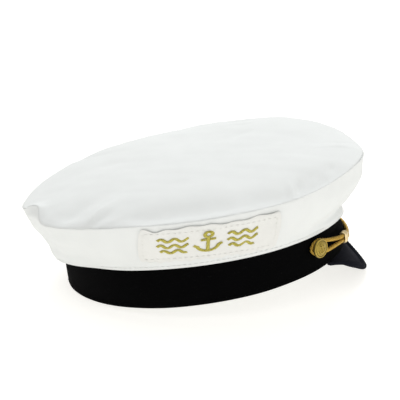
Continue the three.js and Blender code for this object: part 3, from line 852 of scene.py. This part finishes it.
def button_skins(side):
    """The struck disc and its shank, standing out of the band on the right (-1) or left (1)."""
    angle = np.float64(side * BUTTON_ANGLE)
    seat = band_point(angle, BUTTON_HEIGHT, BUTTON_GAP)
    out = band_normal(angle)
    level = unit(np.cross([0, 0, 1], out))
    turn = round_steps(120)[:, None]
    share = np.linspace(0, 1, 40)[None]
    radius = share * BUTTON_RADIUS
    x, y = radius * np.sin(turn) / mm, radius * np.cos(turn) / mm
    dome = SHANK_LENGTH + BUTTON_EDGE + BUTTON_DOME * (1 - share ** 2)
    rings = sum(ring["high"] * bell(share - ring["share"], ring["wide"]) for ring in BUTTON_RINGS)
    struck = RELIEF * smoothstep(anchor_relief(x, y), *RELIEF_SLOPE)
    face = dome + rings + struck - BUTTON_BEVEL * smoothstep(share, BUTTON_BEVEL_FROM, 1)
    back_share, back_level = np.array(BUTTON_BACK_ROWS).T[:, None]
    radius = np.concatenate([radius, back_share * BUTTON_RADIUS], axis=1) + 0 * turn
    height = np.concatenate([face, back_level * mm + SHANK_LENGTH + 0 * turn], axis=1)
    spoke = np.sin(turn)[..., None] * level + np.cos(turn)[..., None] * np.array([0, 0, 1.0])
    disc = seat + spoke * radius[..., None] + out * height[..., None]
    post_share, post_level = np.array(SHANK_ROWS).T[:, None, :, None]
    post = seat + spoke[::5] * post_share * SHANK_RADIUS + out * post_level
    return [skin(disc), skin(post)]


for side, node in ((-1, "button_right"), (1, "button_left")):
    button = build(node + "_struck", button_skins(side), gold_metal)
    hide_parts(node)
    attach(button, "root")


# ---------------------------------------------------------------------------------------------
# Chin cord.
# One closed loop of gold cord, laid up from three plies of metallic thread. It passes round the
# shank of each button and through both keepers, one strand above the other in front.

CORD_RADIUS = 1.5 * mm
PLY_RADIUS = 0.82 * mm
PLY_PITCH = 8.5 * mm
PLIES = 3
PLY_SIDES = 8
CORD_STEPS = 900
CORD_GOLD = (0.6, 0.37, 0.055)

# The right half of the loop, from the middle of the front round the button and back: the angle
# from the front, the height above the rim, and how far it stands off the band, in millimetres.
CORD_ROWS = [
    (0, 6.4, 2.2), (8, 6.7, 2.2), (13, 7.6, 2.4), (18, 10, 2.9), (22.5, 12.26, 3.4),
    (26, 13.05, 3.5), (29.5, 13.84, 3.4), (33, 15.1, 2.8), (38, 17.3, 1.9), (42.5, 19.6, 1.3),
    (46.5, 21.9, 1), (49.6, 20.7, 1), (50.8, 17.6, 1.1), (49.6, 14.3, 1.5), (46.5, 12.9, 1.9),
    (42, 12.1, 2.2), (38, 11.7, 2.5), (33, 11.2, 3), (29.5, 10.64, 3.4), (26, 9.85, 3.5),
    (22.5, 9.06, 3.4), (18, 6.8, 2.9), (13, 4.4, 2.4), (8, 3.5, 2.2), (0, 3.1, 2.2),
]


def way_ahead(loop):
    """The way that a closed loop runs at each of its points."""
    return unit(np.roll(loop, -1, axis=0) - np.roll(loop, 1, axis=0))


def closed_curve(points, count):
    """Evenly spaced places on a smooth closed curve through points, and the curve's length."""
    part = np.linspace(0, 1, 40, endpoint=False)[:, None]
    dense = []
    for index in range(len(points)):
        before, start, end, after = (points[(index + step) % len(points)] for step in (-1, 0, 1, 2))
        stretches = ((before, start), (start, end), (end, after))
        gaps = [np.linalg.norm(far - near) ** 0.5 for near, far in stretches]
        first = ((start - before) / gaps[0] - (end - before) / (gaps[0] + gaps[1])
                 + (end - start) / gaps[1]) * gaps[1]
        second = ((end - start) / gaps[1] - (after - start) / (gaps[1] + gaps[2])
                  + (after - end) / gaps[2]) * gaps[1]
        dense.append(eased(part, start, first, end, second))
    dense = np.concatenate(dense + [dense[0][:1]])
    reach = reach_along(dense)
    return places_along(np.linspace(0, reach[-1], count, endpoint=False), reach, dense), reach[-1]


# Painted light on the thread: glints, a highlight on each turn and shade between the turns, all worked
# into its colour.
PAINTED_GLINT_SCALE = 900.0
PAINTED_GLINT_SHARE = 0.45
THREAD_PAINTED_SHADE = 0.22
THREAD_PAINTED_HIGHLIGHT = 1.7
THREAD_SHADE_PLACE = 0.25
THREAD_EVEN_PLACE = 0.52
THREAD_HIGHLIGHT_PLACE = 0.8
THREAD_RIDGE = 0.1 * mm
THREAD_ROUGHNESS = 0.42
THREAD_METAL = 0.65


def thread_material(name, colour, pitch):
    """Metallic thread wound in fine turns, with a painted highlight on each turn, painted shade
    between the turns and painted glints.
    """
    material, tree, shader = new_material(name)
    place = add_node(tree, "TexCoord")
    turns = add_node(tree, "TexWave", SLANTED_WAVES, Vector=place.outputs["UV"],
                     Scale=WAVE_REPEAT / pitch, Distortion=1.5, Detail=2.0)
    # Fine glints painted into the colour.
    painted_glint = add_node(tree, "TexNoise", Vector=place.outputs["Object"], Scale=PAINTED_GLINT_SCALE,
                     Detail=3.0)
    mixed = mixed_value(tree, turns.outputs["Fac"], painted_glint.outputs["Fac"], PAINTED_GLINT_SHARE)
    # Each turn is painted lighter as a highlight, and the thread between the turns darker as shade.
    colours = shades(tree, mixed, [(THREAD_SHADE_PLACE, tinted(colour, THREAD_PAINTED_SHADE)),
                                   (THREAD_EVEN_PLACE, colour),
                                   (THREAD_HIGHLIGHT_PLACE, tinted(colour, THREAD_PAINTED_HIGHLIGHT))])
    tree.links.new(colours, shader.inputs["Base Color"])
    wound = add_node(tree, "Bump", Strength=0.8, Distance=THREAD_RIDGE, Height=mixed)
    tree.links.new(wound.outputs["Normal"], shader.inputs["Normal"])
    shader.inputs["Roughness"].default_value = THREAD_ROUGHNESS
    shader.inputs["Metallic"].default_value = THREAD_METAL
    return material


cord_gold = thread_material("gold_cord_thread", CORD_GOLD, 0.5 * mm)

right_half = np.array([oval_point(-np.float64(angle), height * mm, standoff * mm)
                       for angle, height, standoff in CORD_ROWS])
left_half = right_half[1:-1][::-1] * (-1, 1, 1)
cord_route, cord_length = closed_curve(np.concatenate([right_half, left_half]), CORD_STEPS)
cord_ahead = way_ahead(cord_route)
cord_radial = unit(cord_route * (1, 1, 0))
cord_up = unit(np.cross(cord_ahead, cord_radial))
cord_side = np.cross(cord_up, cord_ahead)
lay_turns = round(cord_length / PLY_PITCH)
cord_skins = []
for ply in range(PLIES):
    lay = 2 * math.pi * (np.arange(CORD_STEPS) * lay_turns / CORD_STEPS + ply / PLIES)
    spoke = cord_up * np.cos(lay)[:, None] + cord_side * np.sin(lay)[:, None]
    ply_route = cord_route + spoke * (CORD_RADIUS - PLY_RADIUS)
    ply_ahead = way_ahead(ply_route)
    ply_out = unit(spoke - ply_ahead * np.sum(spoke * ply_ahead, axis=-1, keepdims=True))
    ply_side = np.cross(ply_ahead, ply_out)
    cord_skins.append(skin(tube(ply_route, PLY_RADIUS, ply_out, ply_side, PLY_SIDES)))
cord = build("chin_cord_laid", cord_skins, cord_gold)
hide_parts("chin_cord")
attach(cord, "root")


# ---------------------------------------------------------------------------------------------
# Keepers.
# Two short barrels of pale gilt metal with a flat slot, threaded on both strands of the cord so
# that they slide along it to draw the loop in at the buttons.

KEEPER_ANGLE = 26
KEEPER_HEIGHT = 11.45 * mm
KEEPER_STANDOFF = 3.5 * mm
KEEPER_SLOPE = 0.225 * mm
KEEPER_LENGTH = 6.4 * mm
KEEPER_WALL = 0.55 * mm
KEEPER_BULGE = 0.5 * mm
KEEPER_ROUNDING = 1.5
KEEPER_CUT_OFF = 0.07
KEEPER_LIP = 0.5 * mm
KEEPER_LIP_POWER = 8
KEEPER_HOLE = CORD_RADIUS + 0.3 * mm
KEEPER_SPAN = 4
STRAND_SPACING = 3.2 * mm
PALE_GOLD = (0.62, 0.5, 0.29)

pale_gold = metal_material("pale_gilt", PALE_GOLD, rough=0.42, dent=0.03 * mm)


def keeper_skin(side):
    """A ring with two round ends, swollen round its middle, lying along the cord."""
    angle = np.float64(side * KEEPER_ANGLE)
    front_end, back_end = (
        oval_point(np.float64(side * (KEEPER_ANGLE + turned)),
                   KEEPER_HEIGHT + turned * KEEPER_SLOPE, KEEPER_STANDOFF)
        for turned in (-KEEPER_SPAN, KEEPER_SPAN))
    ahead = unit(back_end - front_end)
    tall = unit(np.cross(ahead, band_normal(angle)))
    deep = np.cross(tall, ahead)
    centre = oval_point(angle, KEEPER_HEIGHT, KEEPER_STANDOFF)
    turn = round_steps(60)[:, None]
    part = np.linspace(-1, 1, 15)
    bulge = KEEPER_BULGE * (np.cos(part * KEEPER_ROUNDING) - KEEPER_CUT_OFF)
    swollen = KEEPER_HOLE + KEEPER_WALL + bulge - KEEPER_LIP * np.abs(part) ** KEEPER_LIP_POWER
    section = np.concatenate([swollen, KEEPER_HOLE + 0 * part[::3]])
    reach = np.concatenate([part, part[::-3]]) * KEEPER_LENGTH / 2
    shift = np.sign(np.round(np.cos(turn), 6)) * STRAND_SPACING / 2
    high = np.cos(turn) * section[None] + shift
    wide = np.sin(turn) * np.minimum(section, KEEPER_HOLE + KEEPER_WALL + KEEPER_LIP)[None]
    across = high[..., None] * tall + wide[..., None] * deep
    return skin(centre + across + (reach[:, None] * ahead)[None])


for side, node in ((-1, "keeper_right"), (1, "keeper_left")):
    keeper = build(node + "_barrel", [keeper_skin(side)], pale_gold, sharp=60)
    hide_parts(node)
    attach(keeper, "root")


# ---------------------------------------------------------------------------------------------
# Label patch.
# A strip of white cotton with raw edges, tacked to the wall on the wearer's right. Its top edge
# has come a little loose and wavy.

PATCH_LENGTH = 90 * mm
PATCH_HEIGHT = 31 * mm
PATCH_THICKNESS = 0.6 * mm
PATCH_LIFT = 0.4 * mm
PATCH_LOOSE = 0.3 * mm
PATCH_LOOSE_FROM = 0.84
PATCH_LOOSE_SWING = 0.3
PATCH_LOOSE_WAVE = 29
PATCH_CORNER = 0.0245
PATCH_CORNER_RISE = 0.25
PATCH_BACK_SLANT = 5.0
PATCH_FACING = -91.0
PATCH_COLUMNS = 141
PATCH_LEVELS = 40
PATCH_STITCH = dict(length=2.2 * mm, gap=1.5 * mm, thread=0.4 * mm)
PATCH_STITCH_STEPS = 60
LABEL_WHITE = (0.835, 0.832, 0.8)

# The share of the wall's rise at the patch's lower and upper edges, at its back and front ends.
PATCH_ROWS = [dict(angle=-113.3, low=0.23, high=0.93), dict(angle=-69, low=0.11, high=0.86)]

# The waves of its raw top and bottom edges: how high, how many radians along it, and their start.
TOP_WAVES = [(0.02, 13, 2.6), (0.014, 37, 2)]
BOTTOM_WAVES = [(0.015, 31, 0.5), (0.02, 83, 0)]
TOP_DIP = dict(across=0.1, wide=0.05, deep=0.06)
RAW_EDGE_POWER = 4

# The shallow crinkles of its face.
PATCH_CRINKLES = [dict(wavelength=16 * mm, seed=51, depth=0.3 * mm),
                  dict(wavelength=7 * mm, seed=52, depth=0.12 * mm)]

# Where its tacking turns, as shares of the way along it and up it.
TACK_CORNERS = [(0.035, 0.1), (0.965, 0.1), (0.965, 0.88), (0.035, 0.88)]


def patch_point(across, up, lift):
    """A place on the patch: across from its back end (0) to its front end (1), up from 0 to 1."""
    back_end, front_end = PATCH_ROWS
    angle = back_end["angle"] + (front_end["angle"] - back_end["angle"]) * across
    angle = angle - PATCH_BACK_SLANT * (1 - across) * (1 - up)
    low = back_end["low"] + (front_end["low"] - back_end["low"]) * across
    high = back_end["high"] + (front_end["high"] - back_end["high"]) * across
    rise = low + (high - low) * up
    slack = wandering(wall_point(angle, rise, 0), WALL_SLACK)
    return wall_point(angle, rise, -lift - PATCH_LIFT) + band_normal(angle) * slack[..., None]


label_cotton = cloth_material("label_cotton", LABEL_WHITE, shade_and_tone_spread=0.04, rough=0.9, sheen=0.1,
                              rib=0.5 * mm, ridge=0.07 * mm, crumple=0.7 * mm)


def raw_edge(across, waves):
    """How far a raw edge strays from straight along the patch."""
    return sum(high * np.sin(across * radians + start) for high, radians, start in waves)


def rounded_off(from_edge):
    """How much of the patch's ends is cut away, by how far a place is from its long edge."""
    near_edge = np.clip(1 - from_edge / PATCH_CORNER_RISE, 0, 1)
    return PATCH_CORNER * (1 - np.sqrt(1 - near_edge ** 2))


across_steps = np.linspace(0, 1, PATCH_COLUMNS)
up_steps = np.linspace(0, 1, PATCH_LEVELS)
patch_across, patch_up = np.meshgrid(across_steps, up_steps, indexing="ij")
corner_cut = rounded_off(patch_up) + rounded_off(1 - patch_up)
frayed_across = corner_cut + patch_across * (1 - 2 * corner_cut)
top_wave = raw_edge(patch_across, TOP_WAVES)
top_wave -= TOP_DIP["deep"] * bell(patch_across - TOP_DIP["across"], TOP_DIP["wide"])
bottom_wave = raw_edge(patch_across, BOTTOM_WAVES)
frayed_up = patch_up + top_wave * patch_up ** RAW_EDGE_POWER
frayed_up = frayed_up + bottom_wave * (1 - patch_up) ** RAW_EDGE_POWER
loose = PATCH_LOOSE * smoothstep(patch_up, PATCH_LOOSE_FROM, 1)
loose = loose * (1 + PATCH_LOOSE_SWING * (np.sin(patch_across * PATCH_LOOSE_WAVE) - 1))
patch_field = np.stack([patch_across * PATCH_LENGTH, patch_up * PATCH_HEIGHT, 0 * patch_up],
                       axis=-1)
crinkle = wandering(patch_field, PATCH_CRINKLES)
outer_patch = patch_point(frayed_across, frayed_up, PATCH_THICKNESS + loose + crinkle)
inner_patch = patch_point(frayed_across, frayed_up, loose + crinkle)
patch_columns = np.concatenate([outer_patch, inner_patch[:, ::-1]], axis=1)

patch_skins = [skin(patch_columns, looped=False)]
tack_out = np.tile(band_normal(np.float64(PATCH_FACING)), (PATCH_STITCH_STEPS, 1))
for start, end in zip(TACK_CORNERS, TACK_CORNERS[1:] + TACK_CORNERS[:1]):
    tack_across, tack_up = np.linspace(start, end, PATCH_STITCH_STEPS).T
    tack_route = patch_point(tack_across, tack_up, PATCH_THICKNESS + STITCH_PROUD)
    patch_skins += stitches(tack_route, tack_out, **PATCH_STITCH)
patch = build("label_patch_cloth", patch_skins, label_cotton, sharp=60)
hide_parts("label_patch")
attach(patch, "root")


# ---------------------------------------------------------------------------------------------
# Embroidery.
# The anchor and waves worked on the label in gold thread, in satin stitch: short threads laid
# side by side across each line of the drawing.

SATIN_WIDTH = 2.4 * mm
SATIN_SPACING = 0.42 * mm
SATIN_THREAD = 0.55 * mm
SATIN_COVER = 0.96
SATIN_STEPS = 5
SATIN_GOLD = (0.63, 0.54, 0.11)
MOTIF_CENTRE = (0.48, 0.53)
MOTIF_WAVE_LENGTH = 8.5
MOTIF_WAVE_HEIGHT = 1.5


def drawn_arc(centre, radius, start, end):
    """Part of a circle, from one angle to another round from straight below its centre."""
    turn = np.radians(np.linspace(start, end, 40))
    return np.stack([centre[0] + radius * np.sin(turn), centre[1] - radius * np.cos(turn)], axis=-1)


def drawn_wave(start, end, level):
    """A wavy line from side to side of the drawing."""
    x = np.linspace(start, end, 60)
    swell = MOTIF_WAVE_HEIGHT * np.sin((x - start) * 2 * math.pi / MOTIF_WAVE_LENGTH)
    return np.stack([x, level + swell], axis=-1)


# The lines of the drawing, in millimetres from its middle.
MOTIF_LINES = [
    np.array([(0, 4.6), (0, -8.2)]), np.array([(-4.6, 2.4), (4.6, 2.4)]),
    drawn_arc((0, 6.9), 2.3, 0, 360), drawn_arc((0, -1.4), 7.0, -72, 72),
    np.array([(-8.8, -2.2), (-5.6, -4.4)]), np.array([(8.8, -2.2), (5.6, -4.4)]),
    drawn_wave(-31, -12, 4.6), drawn_wave(-31, -12, -0.9), drawn_wave(-29, -13, -6.2),
    drawn_wave(12, 31, 4.6), drawn_wave(12, 31, -0.9), drawn_wave(13, 29, -6.2),
]

satin = []
satin_facing = band_normal(np.full(SATIN_STEPS, PATCH_FACING))
for line in MOTIF_LINES:
    reach = reach_along(line) * mm
    places = np.arange(SATIN_SPACING / 2, reach[-1], SATIN_SPACING)
    middle = places_along(places, reach, line) * mm
    ahead = unit(np.gradient(middle, axis=0))
    sideways = np.stack([-ahead[:, 1], ahead[:, 0]], axis=-1) * SATIN_WIDTH / 2
    for place, half in zip(middle, sideways):
        thread = np.linspace(place - half, place + half, SATIN_STEPS)
        across, up = (MOTIF_CENTRE + thread / (PATCH_LENGTH, PATCH_HEIGHT)).T
        laid = patch_point(across, up, PATCH_THICKNESS + STITCH_PROUD)
        length = np.linalg.norm(laid[-1] - laid[0]) * SATIN_COVER
        satin += stitches(laid, satin_facing, length, 0, SATIN_THREAD)

satin_gold = thread_material("gold_satin_thread", SATIN_GOLD, 0.3 * mm)
embroidery = build("label_embroidery", satin, satin_gold)
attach(embroidery, "root")


# ---------------------------------------------------------------------------------------------
# Stage.
# A plain pale floor in an evenly lit room, with a broad cool light high on the cap's far side and
# a weaker, warmer one low in front.

CAMERA_AZIMUTH = -98.442
CAMERA_ELEVATION = 18.604
CAMERA_ROLL = -0.744
CAMERA_DISTANCE = 0.8768
CAMERA_AIM = Vector((0.0138, -0.0044, 0.0511))
CAMERA_LENS = 108
CAMERA_NEAR = 0.01
ROOM_LIGHT = 0.635
FLOOR_HALF = 40
FLOOR_GREY = (0.45, 0.45, 0.45, 1)
FLOOR_GLOW = (1, 0.985, 0.94, 1)
FLOOR_GLOW_STRENGTH = 0.77
FLOOR_ROUGHNESS = 0.9


def way_from(azimuth, elevation):
    """The way to a place seen from the cap at an azimuth and elevation in degrees."""
    turn = math.radians(azimuth)
    climb = math.radians(elevation)
    level = math.cos(climb)
    return Vector((math.sin(turn) * level, -math.cos(turn) * level, math.sin(climb)))


def facing_cap(thing, azimuth, elevation, distance, roll=0.0):
    """Puts a camera or lamp into the scene, turned to the cap from a distance."""
    back = way_from(azimuth, elevation)
    place = Matrix.Translation(CAMERA_AIM + back * distance)
    upright = back.to_track_quat("Z", "Y").to_matrix().to_4x4()
    thing.matrix_world = place @ upright @ Matrix.Rotation(math.radians(roll), 4, "Z")
    bpy.context.collection.objects.link(thing)


camera = bpy.data.objects.new("camera", bpy.data.cameras.new("camera"))
camera.data.lens = CAMERA_LENS
camera.data.clip_start = CAMERA_NEAR
facing_cap(camera, CAMERA_AZIMUTH, CAMERA_ELEVATION, CAMERA_DISTANCE, CAMERA_ROLL)
bpy.context.scene.camera = camera


def soft_light(name, azimuth, elevation, distance, size, power, colour):
    """A round lamp, size metres across, turned to the cap."""
    lamp = bpy.data.lights.new(name, "AREA")
    lamp.shape = "DISK"
    lamp.size = size
    lamp.energy = power
    lamp.color = colour
    facing_cap(bpy.data.objects.new(name, lamp), azimuth, elevation, distance)


soft_light("high_back_light", azimuth=78, elevation=52, distance=1.8, size=1.3, power=18.5,
           colour=(0.97, 0.99, 1.0))
soft_light("low_front_light", azimuth=-55, elevation=16, distance=2.0, size=1.6, power=4.5,
           colour=(1.0, 0.985, 0.965))

world = bpy.data.worlds.new("studio")
world.use_nodes = True
room = world.node_tree.nodes["Background"]
room.inputs["Color"].default_value = (1, 1, 1, 1)
room.inputs["Strength"].default_value = ROOM_LIGHT
bpy.context.scene.world = world

floor_mesh = bpy.data.meshes.new("floor")
floor_corners = [(-FLOOR_HALF, -FLOOR_HALF, 0), (FLOOR_HALF, -FLOOR_HALF, 0),
                 (FLOOR_HALF, FLOOR_HALF, 0), (-FLOOR_HALF, FLOOR_HALF, 0)]
floor_mesh.from_pydata(floor_corners, [], [(0, 1, 2, 3)])
floor = bpy.data.objects.new("floor", floor_mesh)
bpy.context.collection.objects.link(floor)
floor_paint, _, floor_shader = new_material("pale_floor")
floor_shader.inputs["Base Color"].default_value = FLOOR_GREY
floor_shader.inputs["Roughness"].default_value = FLOOR_ROUGHNESS
floor_shader.inputs["Emission Color"].default_value = FLOOR_GLOW
floor_shader.inputs["Emission Strength"].default_value = FLOOR_GLOW_STRENGTH
floor_mesh.materials.append(floor_paint)

bpy.context.scene.view_settings.view_transform = "Standard"
